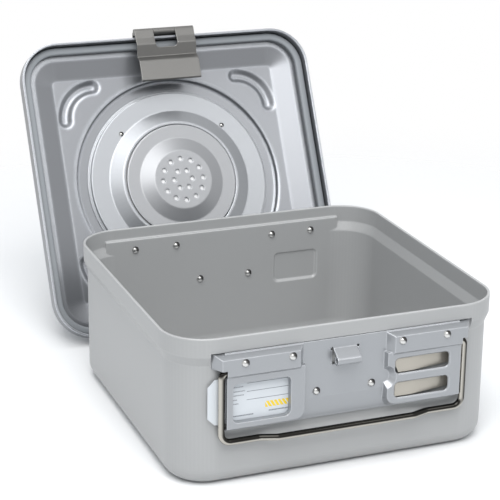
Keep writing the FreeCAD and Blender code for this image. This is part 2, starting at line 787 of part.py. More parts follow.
def skirt_rivet(radius, head):
    """Rivet or hole through the bracket and the skirt, along Y."""
    under = lid_half_y - lid_sheet
    face = lid_half_y + latch_sheet
    one = stud(radius, under, face)
    if head:
        one = one.fuse(crowned(bracket_rivet_head, bracket_rivet_tall, face, 1))
    one.rotate(Vector(0, 0, 0), Vector(1, 0, 0), 90)
    placed = []
    for x in (-bracket_rivet_x, bracket_rivet_x):
        copy = one.copy()
        copy.translate(Vector(x, 0, bracket_rivet_z))
        placed.append(copy)
    return placed


def bracket_rivet_holes():
    """Holes for the bracket's rivets."""
    return skirt_rivet(rivet_shank + rivet_hole_gap, False)


def bracket_rivets():
    """Two rivets that hold a bracket, flush inside the skirt."""
    return Part.makeCompound(skirt_rivet(rivet_shank, True))


def lean(shape):
    """Tip a part of the closed lid back into the lid's leaning position, with no height yet."""
    moved = shape.copy()
    moved.rotate(Vector(0, 0, 0), Vector(1, 0, 0), -(90 + lid_lean))
    moved.translate(Vector(0, collar_half_y + lid_stand_off + lid_half_y * math.sin(math.radians(lid_lean)), 0))
    return moved


def build():
    """Every piece by name, in its place."""
    plate = on_front(handle_plate())
    rivets = on_front(plate_rivets())
    leaf = on_front(spring_leaf())
    handle = on_front(bail())
    parts = {
        "tub_shell": tub_shell(),
        "front_handle_plate": plate,
        "rear_handle_plate": turned(plate),
        "front_plate_rivets": rivets,
        "rear_plate_rivets": turned(rivets),
        "front_spring_leaf": leaf,
        "rear_spring_leaf": turned(leaf),
        "front_label_card": on_front(label_card()),
        "front_handle": handle,
        "rear_handle": turned(handle),
    }
    lid = {
        "lid_shell": lid_shell(),
        "lid_gasket": lid_gasket(),
        "filter_ring": filter_ring(),
        "filter_disc": filter_disc(),
        "filter_cover": filter_cover(),
        "filter_rivets": filter_rivets(),
    }
    for name, piece in (("latch_bracket", latch_bracket()), ("latch_pin", latch_pin()),
                        ("bracket_rivets", bracket_rivets()), ("latch", latch())):
        lid["front_" + name] = piece
        lid["rear_" + name] = turned(piece)
    leaning = {name: lean(shape) for name, shape in lid.items()}
    height = -leaning["rear_latch_bracket"].optimalBoundingBox().ZMin
    for name, shape in leaning.items():
        shape.translate(Vector(0, 0, height))
        parts[name] = shape
    return parts


os.makedirs("parts", exist_ok=True)
for name, shape in build().items():
    solids = shape.Solids
    print(name, "solids", len(solids), "valid", shape.isValid(), "volume", round(shape.Volume, 1))
    shape.exportStep("parts/" + name + ".step")
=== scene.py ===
"""Sterilization container: the looks of the tub, its handle plates and the lid that leans behind it."""
import math

import bmesh
import bpy
from mathutils import Matrix, Vector


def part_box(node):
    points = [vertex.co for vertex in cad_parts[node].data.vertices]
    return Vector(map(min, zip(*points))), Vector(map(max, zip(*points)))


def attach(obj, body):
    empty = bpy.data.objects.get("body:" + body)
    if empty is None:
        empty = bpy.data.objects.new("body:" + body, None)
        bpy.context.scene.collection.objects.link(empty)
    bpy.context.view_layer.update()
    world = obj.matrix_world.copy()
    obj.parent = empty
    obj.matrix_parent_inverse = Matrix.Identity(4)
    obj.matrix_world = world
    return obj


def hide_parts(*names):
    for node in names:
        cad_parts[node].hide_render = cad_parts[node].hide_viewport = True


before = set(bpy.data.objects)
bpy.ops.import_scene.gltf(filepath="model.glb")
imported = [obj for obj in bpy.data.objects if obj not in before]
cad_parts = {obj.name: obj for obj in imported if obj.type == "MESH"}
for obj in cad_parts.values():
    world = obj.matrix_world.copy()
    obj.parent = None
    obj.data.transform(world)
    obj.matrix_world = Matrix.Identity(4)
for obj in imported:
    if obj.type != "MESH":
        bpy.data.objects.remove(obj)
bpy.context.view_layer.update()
scene = bpy.context.scene
scene.view_settings.view_transform = "Standard"


# The camera
# A long lens on a stand, a little above the tub and to the left of its front. Its angles, distance and
# target come from one fit of the tub's corners, with a slight roll.
camera_azimuth = -21.54
camera_elevation = 19.29
camera_roll = 0.66
camera_distance = 1.45026
camera_target = Vector((-0.02742, 0.0, 0.14599))
camera_turn = (Matrix.Rotation(math.radians(camera_azimuth), 4, "Z")
               @ Matrix.Rotation(math.radians(90 - camera_elevation), 4, "X")
               @ Matrix.Rotation(math.radians(camera_roll), 4, "Z"))
camera_data = bpy.data.cameras.new("camera")
camera_data.lens = 121.47
camera_data.sensor_width = 36.0
camera_data.clip_end = 20.0
camera = bpy.data.objects.new("camera", camera_data)
camera_place = camera_target + camera_turn.to_3x3() @ Vector((0, 0, camera_distance))
camera.matrix_world = Matrix.Translation(camera_place) @ camera_turn
scene.collection.objects.link(camera)
scene.camera = camera


# The floor and the studio
# White paper that fades into a white surround, with three soft lamps. The surround is white where it is
# seen or mirrored, and a weaker bluish fill for all other light.
def tree_math(tree, operation, *values):
    """One math node of a node tree, fed by sockets or plain numbers; gives its output."""
    node = tree.nodes.new("ShaderNodeMath")
    node.operation = operation
    for place, value in enumerate(values):
        if isinstance(value, (int, float)):
            node.inputs[place].default_value = value
        else:
            tree.links.new(value, node.inputs[place])
    return node.outputs[0]


floor_half = 2
floor_white = 0.82
fade_start = 0.42
fade_end = 1.0
floor_mesh = bpy.data.meshes.new("floor")
floor_mesh.from_pydata([(-floor_half, -floor_half, 0), (floor_half, -floor_half, 0),
                        (floor_half, floor_half, 0), (-floor_half, floor_half, 0)], [], [(0, 1, 2, 3)])
floor = bpy.data.objects.new("floor", floor_mesh)
scene.collection.objects.link(floor)
floor_paint = bpy.data.materials.new("floor_paper")
floor_paint.use_nodes = True
floor_tree = floor_paint.node_tree
floor_bsdf = floor_tree.nodes["Principled BSDF"]
floor_bsdf.inputs["Base Color"].default_value = (floor_white, floor_white, floor_white, 1)
floor_bsdf.inputs["Roughness"].default_value = 0.9
floor_bsdf.inputs["Specular IOR Level"].default_value = 0.1
floor_place = floor_tree.nodes.new("ShaderNodeTexCoord")
floor_reach = floor_tree.nodes.new("ShaderNodeVectorMath")
floor_reach.operation = "LENGTH"
floor_fade = floor_tree.nodes.new("ShaderNodeMapRange")
floor_fade.interpolation_type = "SMOOTHSTEP"
floor_fade.inputs["From Min"].default_value = fade_start
floor_fade.inputs["From Max"].default_value = fade_end
floor_open = floor_tree.nodes.new("ShaderNodeBsdfTransparent")
floor_mix = floor_tree.nodes.new("ShaderNodeMixShader")
floor_tree.links.new(floor_place.outputs["Object"], floor_reach.inputs[0])
floor_tree.links.new(floor_reach.outputs["Value"], floor_fade.inputs["Value"])
floor_tree.links.new(floor_fade.outputs["Result"], floor_mix.inputs[0])
floor_tree.links.new(floor_bsdf.outputs[0], floor_mix.inputs[1])
floor_tree.links.new(floor_open.outputs[0], floor_mix.inputs[2])
floor_tree.links.new(floor_mix.outputs[0], floor_tree.nodes["Material Output"].inputs["Surface"])
floor_mesh.materials.append(floor_paint)

world = bpy.data.worlds.new("studio")
scene.world = world
world.use_nodes = True
world_nodes = world.node_tree.nodes
world_links = world.node_tree.links
world_nodes.clear()
light_path = world_nodes.new("ShaderNodeLightPath")
seen = tree_math(world.node_tree, "MAXIMUM", light_path.outputs["Is Camera Ray"],
                 light_path.outputs["Is Transmission Ray"])
mirrored = tree_math(world.node_tree, "MAXIMUM", seen, light_path.outputs["Is Glossy Ray"])
fill_light = world_nodes.new("ShaderNodeBackground")
fill_light.inputs["Color"].default_value = (0.90, 0.95, 1.0, 1)
fill_light.inputs["Strength"].default_value = 0.66
white_light = world_nodes.new("ShaderNodeBackground")
white_light.inputs["Color"].default_value = (1, 1, 1, 1)
white_light.inputs["Strength"].default_value = 1.0
choose_light = world_nodes.new("ShaderNodeMixShader")
world_out = world_nodes.new("ShaderNodeOutputWorld")
world_links.new(mirrored, choose_light.inputs[0])
world_links.new(fill_light.outputs[0], choose_light.inputs[1])
world_links.new(white_light.outputs[0], choose_light.inputs[2])
world_links.new(choose_light.outputs[0], world_out.inputs["Surface"])

lamp_target = Vector((0.0, 0.05, 0.1))
for lamp_name, lamp_place, lamp_size, lamp_power in (
        ("lamp_key", (-0.40, -1.00, 1.75), 1.5, 38.0),
        ("lamp_panel", (0.72, -1.00, 1.12), 0.35, 2.0),
        ("lamp_top", (-0.2, 0.4, 1.9), 1.2, 9.0)):
    lamp_data = bpy.data.lights.new(lamp_name, "AREA")
    lamp_data.shape = "SQUARE"
    lamp_data.size = lamp_size
    lamp_data.energy = lamp_power
    lamp = bpy.data.objects.new(lamp_name, lamp_data)
    lamp.location = lamp_place
    aim = lamp_target - Vector(lamp_place)
    lamp.rotation_euler = aim.to_track_quat("-Z", "Y").to_euler()
    scene.collection.objects.link(lamp)


# The tub
# Deep-drawn from one aluminium sheet and anodised, so it is matt with a fine even grain and faint cloudy
# marks from handling. Its pressed edges are softly rounded and painted a little brighter, partly as wear
# from rubbing and partly as a painted highlight.
satin_group = bpy.data.node_groups.new("satin_surface", "ShaderNodeTree")
satin_group.interface.new_socket(name="Tone", in_out="INPUT", socket_type="NodeSocketColor")
for socket_name in ("Roughness", "Grain Depth", "Cloud", "Edge Round", "Edge Wear And Highlight"):
    satin_group.interface.new_socket(name=socket_name, in_out="INPUT", socket_type="NodeSocketFloat")
for socket_name, socket_value in (("Cloud Scale", 9.0), ("Roughness Spread", 0.06), ("Grain Scale", 1400.0)):
    socket = satin_group.interface.new_socket(name=socket_name, in_out="INPUT", socket_type="NodeSocketFloat")
    socket.default_value = socket_value
for socket_name, socket_kind in (("Color", "NodeSocketColor"), ("Roughness", "NodeSocketFloat"),
                                 ("Normal", "NodeSocketVector")):
    satin_group.interface.new_socket(name=socket_name, in_out="OUTPUT", socket_type=socket_kind)
g_nodes = satin_group.nodes
g_links = satin_group.links
g_in = g_nodes.new("NodeGroupInput")
g_out = g_nodes.new("NodeGroupOutput")
g_place = g_nodes.new("ShaderNodeTexCoord")
g_grain = g_nodes.new("ShaderNodeTexNoise")
g_grain.inputs["Detail"].default_value = 3.0
g_links.new(g_place.outputs["Object"], g_grain.inputs["Vector"])
g_links.new(g_in.outputs["Grain Scale"], g_grain.inputs["Scale"])
g_cloud = g_nodes.new("ShaderNodeTexNoise")
g_cloud.inputs["Detail"].default_value = 4.0
g_links.new(g_place.outputs["Object"], g_cloud.inputs["Vector"])
g_links.new(g_in.outputs["Cloud Scale"], g_cloud.inputs["Scale"])
g_centre = tree_math(satin_group, "SUBTRACT", g_cloud.outputs["Fac"], 0.5)
g_round = g_nodes.new("ShaderNodeBevel")
g_round.samples = 6
g_links.new(g_in.outputs["Edge Round"], g_round.inputs["Radius"])
g_flat = g_nodes.new("ShaderNodeNewGeometry")
g_turn = g_nodes.new("ShaderNodeVectorMath")
g_turn.operation = "DOT_PRODUCT"
g_links.new(g_round.outputs["Normal"], g_turn.inputs[0])
g_links.new(g_flat.outputs["True Normal"], g_turn.inputs[1])
# Edge colour: the further the rounded normal turns from the true one, the brighter the colour is painted,
# partly as wear and partly as a painted highlight on the bends.
g_edge = tree_math(satin_group, "SUBTRACT", 1.0, g_turn.outputs["Value"])
g_edge.node.use_clamp = True
g_wear_and_highlight = tree_math(satin_group, "MULTIPLY", tree_math(satin_group, "SQRT", g_edge), g_in.outputs["Edge Wear And Highlight"])
g_amount = tree_math(satin_group, "MULTIPLY_ADD", g_centre, g_in.outputs["Cloud"], 1.0)
g_both = tree_math(satin_group, "ADD", g_amount, g_wear_and_highlight)
g_tint = g_nodes.new("ShaderNodeVectorMath")
g_tint.operation = "SCALE"
g_links.new(g_in.outputs["Tone"], g_tint.inputs[0])
g_links.new(g_both, g_tint.inputs["Scale"])
g_links.new(g_tint.outputs[0], g_out.inputs["Color"])
g_rough = tree_math(satin_group, "MULTIPLY_ADD", g_centre, g_in.outputs["Roughness Spread"],
                    g_in.outputs["Roughness"])
g_links.new(g_rough, g_out.inputs["Roughness"])
g_bump = g_nodes.new("ShaderNodeBump")
g_bump.inputs["Distance"].default_value = 0.0002
g_links.new(g_grain.outputs["Fac"], g_bump.inputs["Height"])
g_links.new(g_in.outputs["Grain Depth"], g_bump.inputs["Strength"])
g_links.new(g_round.outputs["Normal"], g_bump.inputs["Normal"])
g_links.new(g_bump.outputs["Normal"], g_out.inputs["Normal"])


def satin_metal(name, tone, metallic, roughness, grain_depth, cloud, edge_round, edge_wear_and_highlight):
    """A finish with the fine surface built above; lengths are in metres.

    Its edge wear paints edges brighter, partly as wear and partly as a painted highlight.
    """
    paint = bpy.data.materials.new(name)
    paint.use_nodes = True
    nodes = paint.node_tree.nodes
    links = paint.node_tree.links
    bsdf = nodes["Principled BSDF"]
    bsdf.inputs["Metallic"].default_value = metallic
    surface = nodes.new("ShaderNodeGroup")
    surface.name = "surface"
    surface.node_tree = satin_group
    surface.inputs["Tone"].default_value = (*tone, 1.0)
    surface.inputs["Roughness"].default_value = roughness
    surface.inputs["Grain Depth"].default_value = grain_depth
    surface.inputs["Cloud"].default_value = cloud
    surface.inputs["Edge Round"].default_value = edge_round
    surface.inputs["Edge Wear And Highlight"].default_value = edge_wear_and_highlight
    links.new(surface.outputs["Color"], bsdf.inputs["Base Color"])
    links.new(surface.outputs["Roughness"], bsdf.inputs["Roughness"])
    links.new(surface.outputs["Normal"], bsdf.inputs["Normal"])
    return paint


def dress(node_names, paint):
    """Give CAD pieces their finish."""
    for node_name in node_names:
        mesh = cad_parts[node_name].data
        mesh.materials.clear()
        mesh.materials.append(paint)


tub_metal = satin_metal("tub_anodised", (0.355, 0.358, 0.358),
                        metallic=0.12, roughness=0.38, grain_depth=0.10,
                        cloud=0.06, edge_round=0.0020, edge_wear_and_highlight=0.9)
dress(["tub_shell"], tub_metal)


# The handle plates
# Pressed from thinner aluminium sheet and riveted under the tub's ledge, a little bluer than the tub. Its
# bends are painted brighter than the tub's, partly as wear and partly as a painted highlight.
plate_metal = satin_metal("plate_anodised", (0.320, 0.330, 0.345),
                          metallic=0.50, roughness=0.28, grain_depth=0.08,
                          cloud=0.05, edge_round=0.0013, edge_wear_and_highlight=1.1)
dress(["front_handle_plate", "rear_handle_plate"], plate_metal)


# The rivets
# Bright domed heads on the rivets that fix the plates, the brackets and the filter ring. One tree of
# nodes sets a head on each seat, turned to face away from its sheet.
def painted_dark_reflection(paint, shade, turn_from, turn_to, way):
    """Paint a dark reflection into a finish's colour, on the side turned away from a direction, as if a dark
    room were mirrored there.
    """
    nodes = paint.node_tree.nodes
    links = paint.node_tree.links
    facing = nodes.new("ShaderNodeTexCoord")
    amount = nodes.new("ShaderNodeVectorMath")
    amount.operation = "DOT_PRODUCT"
    amount.inputs[1].default_value = Vector(way).normalized()
    spread = nodes.new("ShaderNodeMapRange")
    spread.interpolation_type = "SMOOTHSTEP"
    spread.inputs["From Min"].default_value = turn_from
    spread.inputs["From Max"].default_value = turn_to
    spread.inputs["To Min"].default_value = shade
    shaded = nodes.new("ShaderNodeVectorMath")
    shaded.operation = "SCALE"
    links.new(facing.outputs["Normal"], amount.inputs[0])
    links.new(amount.outputs["Value"], spread.inputs["Value"])
    links.new(nodes["surface"].outputs["Color"], shaded.inputs[0])
    links.new(spread.outputs["Result"], shaded.inputs["Scale"])
    links.new(shaded.outputs[0], nodes["Principled BSDF"].inputs["Base Color"])


rivet_metal = satin_metal("rivet_bright", (0.62, 0.62, 0.61),
                          metallic=1.0, roughness=0.14, grain_depth=0.02,
                          cloud=0.03, edge_round=0.0003, edge_wear_and_highlight=0.0)
# The heads' colour is painted dark on the side turned up, right and back: a painted reflection of a dark
# room.
painted_dark_reflection(rivet_metal, shade=0.10, turn_from=-0.10, turn_to=0.45, way=(-0.6, -0.3, -0.5))
dress(["front_plate_rivets", "rear_plate_rivets", "filter_rivets", "front_bracket_rivets",
       "rear_bracket_rivets"], rivet_metal)

head_tree = bpy.data.node_groups.new("domed_heads", "GeometryNodeTree")
head_tree.interface.new_socket(name="Seats", in_out="INPUT", socket_type="NodeSocketGeometry")
for socket_name in ("Head Radius", "Head Height"):
    head_tree.interface.new_socket(name=socket_name, in_out="INPUT", socket_type="NodeSocketFloat")
head_tree.interface.new_socket(name="Finish", in_out="INPUT", socket_type="NodeSocketMaterial")
head_tree.interface.new_socket(name="Heads", in_out="OUTPUT", socket_type="NodeSocketGeometry")
h_nodes = head_tree.nodes
h_links = head_tree.links
h_in = h_nodes.new("NodeGroupInput")
h_out = h_nodes.new("NodeGroupOutput")
head_segments = 28
head_rings = 18
head_sink = 0.0002
h_radius = h_in.outputs["Head Radius"]
h_height = h_in.outputs["Head Height"]
h_squares = tree_math(head_tree, "ADD", tree_math(head_tree, "MULTIPLY", h_radius, h_radius),
                      tree_math(head_tree, "MULTIPLY", h_height, h_height))
h_ball = tree_math(head_tree, "DIVIDE", h_squares, tree_math(head_tree, "MULTIPLY", h_height, 2.0))
h_sphere = h_nodes.new("GeometryNodeMeshUVSphere")
h_sphere.inputs["Segments"].default_value = head_segments
h_sphere.inputs["Rings"].default_value = head_rings
h_links.new(h_ball, h_sphere.inputs["Radius"])
h_position = h_nodes.new("GeometryNodeInputPosition")
h_split = h_nodes.new("ShaderNodeSeparateXYZ")
h_links.new(h_position.outputs[0], h_split.inputs[0])
h_lift = tree_math(head_tree, "SUBTRACT", h_height, h_ball)
h_raised = tree_math(head_tree, "ADD", h_split.outputs["Z"], h_lift)
h_sunk = tree_math(head_tree, "MAXIMUM", h_raised, -head_sink)
h_joined = h_nodes.new("ShaderNodeCombineXYZ")
h_links.new(h_split.outputs["X"], h_joined.inputs["X"])
h_links.new(h_split.outputs["Y"], h_joined.inputs["Y"])
h_links.new(h_sunk, h_joined.inputs["Z"])
h_dome = h_nodes.new("GeometryNodeSetPosition")
h_links.new(h_sphere.outputs["Mesh"], h_dome.inputs["Geometry"])
h_links.new(h_joined.outputs[0], h_dome.inputs["Position"])
h_smooth = h_nodes.new("GeometryNodeSetShadeSmooth")
h_links.new(h_dome.outputs[0], h_smooth.inputs["Geometry"])
h_facing = h_nodes.new("GeometryNodeInputNamedAttribute")
h_facing.data_type = "FLOAT_VECTOR"
h_facing.inputs["Name"].default_value = "facing"
h_turn = h_nodes.new("FunctionNodeAlignRotationToVector")
h_turn.axis = "Z"
h_links.new(h_facing.outputs[0], h_turn.inputs["Vector"])
h_place = h_nodes.new("GeometryNodeInstanceOnPoints")
h_links.new(h_in.outputs["Seats"], h_place.inputs["Points"])
h_links.new(h_smooth.outputs[0], h_place.inputs["Instance"])
h_links.new(h_turn.outputs[0], h_place.inputs["Rotation"])
h_size = h_nodes.new("GeometryNodeInputNamedAttribute")
h_size.data_type = "FLOAT_VECTOR"
h_size.inputs["Name"].default_value = "head_size"
h_links.new(h_size.outputs[0], h_place.inputs["Scale"])
h_real = h_nodes.new("GeometryNodeRealizeInstances")
h_links.new(h_place.outputs[0], h_real.inputs[0])
h_finish = h_nodes.new("GeometryNodeSetMaterial")
h_links.new(h_real.outputs[0], h_finish.inputs["Geometry"])
h_links.new(h_in.outputs["Finish"], h_finish.inputs["Material"])
h_links.new(h_finish.outputs[0], h_out.inputs[0])


def domed_heads(name, body, seats, radius, height):
    """Rivet heads on seats of place, facing and relative size, as one plain mesh that rides on a body."""
    mesh = bpy.data.meshes.new(name)
    mesh.from_pydata([place for place, _, _ in seats], [], [])
    facing = mesh.attributes.new("facing", "FLOAT_VECTOR", "POINT")
    head_size = mesh.attributes.new("head_size", "FLOAT_VECTOR", "POINT")
    for number, (_, way, size) in enumerate(seats):
        facing.data[number].vector = way
        head_size.data[number].vector = (size, size, size)
    heads = bpy.data.objects.new(name, mesh)
    scene.collection.objects.link(heads)
    maker = heads.modifiers.new("heads", "NODES")
    maker.node_group = head_tree
    values = {"Head Radius": radius, "Head Height": height, "Finish": rivet_metal}
    for item in head_tree.interface.items_tree:
        if item.name in values:
            maker[item.identifier] = values[item.name]
    bpy.context.view_layer.update()
    baked = bpy.data.meshes.new_from_object(heads.evaluated_get(bpy.context.evaluated_depsgraph_get()))
    heads.modifiers.clear()
    heads.data = baked
    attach(heads, body)


# Seats on each side of the tub: four in the bar and two in the centre, each outside and inside the wall.
plate_head_radius = 0.00345
plate_head_height = 0.0026
plate_solid_head = 0.0019
bar_rivet_x = (0.048, 0.088)
bar_rivet_z = 0.1084
centre_rivet_x = 0.0243
centre_rivet_z = 0.0723
centre_set_back = 0.0069
rivets_low, rivets_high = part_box("front_plate_rivets")
bar_face = -rivets_low.y - plate_solid_head
wall_inside = -rivets_high.y + plate_solid_head
plate_seats = []
for side in (-1, 1):
    for x in (*bar_rivet_x, *(-x for x in bar_rivet_x)):
        plate_seats.append(((x, side * bar_face, bar_rivet_z), (0, side, 0), 1.0))
        plate_seats.append(((x, side * wall_inside, bar_rivet_z), (0, -side, 0), 1.0))
    for x in (centre_rivet_x, -centre_rivet_x):
        plate_seats.append(((x, side * (bar_face - centre_set_back), centre_rivet_z), (0, side, 0), 1.0))
        plate_seats.append(((x, side * wall_inside, centre_rivet_z), (0, -side, 0), 1.0))
domed_heads("plate_rivet_heads", "tub", plate_seats, plate_head_radius, plate_head_height)

# The leaning lid's place, from its lean and the gasket's box.
lid_lean = math.radians(27)
gasket_middle_height = 0.01125
lid_up = Vector((0, -math.cos(lid_lean), math.sin(lid_lean)))
gasket_low, gasket_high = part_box("lid_gasket")
lid_place = (Matrix.Translation((gasket_low + gasket_high) / 2 + lid_up * gasket_middle_height)
             @ Matrix.Rotation(-(math.pi / 2 + lid_lean), 4, "X"))


def on_lid(point):
    """A point of the closed lid's own frame, in the leaning lid's place."""
    return lid_place @ Vector(point)


def lid_way(direction):
    """A direction of the closed lid's own frame, as the lid leans."""
    return lid_place.to_3x3() @ Vector(direction)


# Seats on the lid: four of the filter ring, inside and on the lid's top, and two of each bracket.
ring_rivet_radius = 0.0754
ring_rivet_reach = ring_rivet_radius * math.sqrt(0.5)
ring_rivet_seat = 0.0200
lid_top_seat = 0.0280
lid_seats = []
for x in (-ring_rivet_reach, ring_rivet_reach):
    for y in (-ring_rivet_reach, ring_rivet_reach):
        lid_seats.append((on_lid((x, y, ring_rivet_seat)), lid_way((0, 0, -1)), 1.0))
        lid_seats.append((on_lid((x, y, lid_top_seat)), lid_way((0, 0, 1)), 1.0))

bracket_face = 0.1470
bracket_rivet_x = 0.022
bracket_rivet_z = 0.0102
bracket_head_size = 1.1
for side in (-1, 1):
    for x in (-bracket_rivet_x, bracket_rivet_x):
        seat = on_lid((x, side * bracket_face, bracket_rivet_z))
        lid_seats.append((seat, lid_way((0, side, 0)), bracket_head_size))

lid_head_radius = 0.0025
lid_head_height = 0.0017
domed_heads("lid_rivet_heads", "lid", lid_seats, lid_head_radius, lid_head_height)


# The bails
# Polished steel wire bent to a loop, held in the ears of each plate. The side turned upward is painted
# dark, a painted reflection of a dark room.
wire_metal = satin_metal("wire_polished", (0.45, 0.43, 0.39),
                         metallic=1.0, roughness=0.12, grain_depth=0.02,
                         cloud=0.04, edge_round=0.0004, edge_wear_and_highlight=0.0)
painted_dark_reflection(wire_metal, shade=0.06, turn_from=-0.05, turn_to=0.28, way=(-0.35, -0.10, -1.0))
dress(["front_handle", "rear_handle"], wire_metal)


# The spring leaves
# Bowed spring steel under the plates, warmer in tone than they are. A tongue lies behind each tag slot, and
# the foot lies flat on the tub's wall.
leaf_metal = satin_metal("leaf_spring", (0.40, 0.375, 0.33),
                         metallic=0.55, roughness=0.34, grain_depth=0.04,
                         cloud=0.05, edge_round=0.0003, edge_wear_and_highlight=0.1)
dress(["front_spring_leaf", "rear_spring_leaf"], leaf_metal)


# The label card
# White card slid in behind the window, printed with plain ruled lines, rows of grey dashes that say
# nothing, and a yellow hatched bar. The print is placed in shares of the window's width and height.
card_paint = bpy.data.materials.new("card_paper")
card_paint.use_nodes = True
card_nodes = card_paint.node_tree.nodes
card_links = card_paint.node_tree.links
card_bsdf = card_nodes["Principled BSDF"]
card_bsdf.inputs["Roughness"].default_value = 0.65

bar_group = bpy.data.node_groups.new("printed_bar", "ShaderNodeTree")
for socket_name, socket_kind in (("Place", "NodeSocketVector"), ("Left", "NodeSocketFloat"),
                                 ("Right", "NodeSocketFloat"), ("Middle", "NodeSocketFloat"),
                                 ("Half Height", "NodeSocketFloat"), ("Breaks", "NodeSocketFloat")):
    bar_group.interface.new_socket(name=socket_name, in_out="INPUT", socket_type=socket_kind)
bar_group.interface.new_socket(name="Mask", in_out="OUTPUT", socket_type="NodeSocketFloat")
b_nodes = bar_group.nodes
b_links = bar_group.links
b_in = b_nodes.new("NodeGroupInput")
b_out = b_nodes.new("NodeGroupOutput")
b_split = b_nodes.new("ShaderNodeSeparateXYZ")
b_links.new(b_in.outputs["Place"], b_split.inputs[0])
hatch_slant = 0.6
gap_share = 0.32
unbroken_below = 0.5
b_along = b_split.outputs["X"]
b_up = b_split.outputs["Z"]
b_breaks = b_in.outputs["Breaks"]
b_from_left = tree_math(bar_group, "GREATER_THAN", b_along, b_in.outputs["Left"])
b_to_right = tree_math(bar_group, "LESS_THAN", b_along, b_in.outputs["Right"])
b_off = tree_math(bar_group, "ABSOLUTE", tree_math(bar_group, "SUBTRACT", b_up, b_in.outputs["Middle"]))
b_band = tree_math(bar_group, "LESS_THAN", b_off, b_in.outputs["Half Height"])
b_slant = tree_math(bar_group, "ADD", b_along, tree_math(bar_group, "MULTIPLY", b_up, hatch_slant))
b_dash = tree_math(bar_group, "FRACT", tree_math(bar_group, "MULTIPLY", b_slant, b_breaks))
b_ink = tree_math(bar_group, "GREATER_THAN", b_dash, gap_share)
b_any = tree_math(bar_group, "MAXIMUM", b_ink, tree_math(bar_group, "LESS_THAN", b_breaks, unbroken_below))
b_box = tree_math(bar_group, "MULTIPLY", b_from_left, b_to_right)
b_inked = tree_math(bar_group, "MULTIPLY", b_box, tree_math(bar_group, "MULTIPLY", b_band, b_any))
b_links.new(b_inked, b_out.inputs[0])

card_place = card_nodes.new("ShaderNodeTexCoord")
card_tone = card_nodes.new("ShaderNodeTexNoise")
card_tone.inputs["Scale"].default_value = 60.0
# Numbers of a mix node's sockets for colours: the share, the colour below, the colour above and the result.
mix_share, mix_below, mix_above, mix_result = 0, 6, 7, 2
card_base = card_nodes.new("ShaderNodeMix")
card_base.data_type = "RGBA"
card_base.inputs[mix_below].default_value = (0.57, 0.60, 0.63, 1)
card_base.inputs[mix_above].default_value = (0.62, 0.645, 0.67, 1)
card_links.new(card_place.outputs["Object"], card_tone.inputs["Vector"])
card_links.new(card_tone.outputs["Fac"], card_base.inputs[mix_share])
card_colour = card_base.outputs[mix_result]
window_left, window_right = -0.0976, -0.0483
window_low, window_high = 0.057, 0.091
ink_grey = (0.13, 0.14, 0.16, 1)
ink_pale = (0.20, 0.21, 0.23, 1)
ink_yellow = (0.78, 0.56, 0.04, 1)
# Each mark's left and right end and middle height as shares of the window, its half height in metres, its
# breaks per metre and its ink.
for left, right, middle, half_height, breaks, ink in (
        (0.28, 1.00, 0.90, 0.00022, 0, ink_grey), (0.28, 1.00, 0.69, 0.00022, 0, ink_grey),
        (0.28, 1.00, 0.48, 0.00022, 0, ink_grey), (0.03, 0.25, 0.93, 0.00045, 900, ink_pale),
        (0.03, 0.22, 0.83, 0.00045, 780, ink_pale), (0.03, 0.25, 0.72, 0.00045, 840, ink_pale),
        (0.03, 0.23, 0.62, 0.00045, 910, ink_pale), (0.03, 0.11, 0.51, 0.00045, 800, ink_pale),
        (0.03, 0.14, 0.41, 0.00045, 870, ink_pale), (0.03, 0.40, 0.10, 0.00055, 760, ink_grey),
        (0.66, 1.00, 0.13, 0.00055, 820, ink_grey), (0.60, 1.00, 0.30, 0.0026, 300, ink_yellow)):
    bar = card_nodes.new("ShaderNodeGroup")
    bar.node_tree = bar_group
    bar.inputs["Left"].default_value = window_left + left * (window_right - window_left)
    bar.inputs["Right"].default_value = window_left + right * (window_right - window_left)
    bar.inputs["Middle"].default_value = window_low + middle * (window_high - window_low)
    bar.inputs["Half Height"].default_value = half_height
    bar.inputs["Breaks"].default_value = breaks
    inked = card_nodes.new("ShaderNodeMix")
    inked.data_type = "RGBA"
    inked.inputs[mix_above].default_value = ink
    card_links.new(card_place.outputs["Object"], bar.inputs["Place"])
    card_links.new(bar.outputs["Mask"], inked.inputs[mix_share])
    card_links.new(card_colour, inked.inputs[mix_below])
    card_colour = inked.outputs[mix_result]
card_links.new(card_colour, card_bsdf.inputs["Base Color"])
dress(["front_label_card"], card_paint)


# The lid
# Drawn from anodised aluminium sheet like the tub. Its inner side faces the viewer, with wide soft bends
# that catch the light, and a strong painted highlight brightens the colour along them.
lid_metal = satin_metal("lid_anodised", (0.200, 0.207, 0.220),
                        metallic=0.60, roughness=0.30, grain_depth=0.08,
                        cloud=0.06, edge_round=0.0042, edge_wear_and_highlight=4.5)
dress(["lid_shell"], lid_metal)


# The gasket
# Grey silicone seal with a crowned face, pressed into the channel round the lid. Its section is swept
# round a rounded rectangle; it is given as inset from the outer edge and height above the rim.
gasket_rubber = satin_metal("gasket_silicone", (0.24, 0.255, 0.27),
                            metallic=0.0, roughness=0.55, grain_depth=0.10,
                            cloud=0.10, edge_round=0.0006, edge_wear_and_highlight=0.0)
gasket_half_x = 0.1472
gasket_half_y = 0.1427
gasket_corner = 0.0352
corner_steps = 16
gasket_section = ((0.0, 0.0145), (0.0, 0.0097), (0.0003, 0.0088), (0.0011, 0.0082), (0.0024, 0.0080),
                  (0.0048, 0.0080), (0.0061, 0.0082), (0.0069, 0.0088), (0.0072, 0.0097), (0.0072, 0.0145))


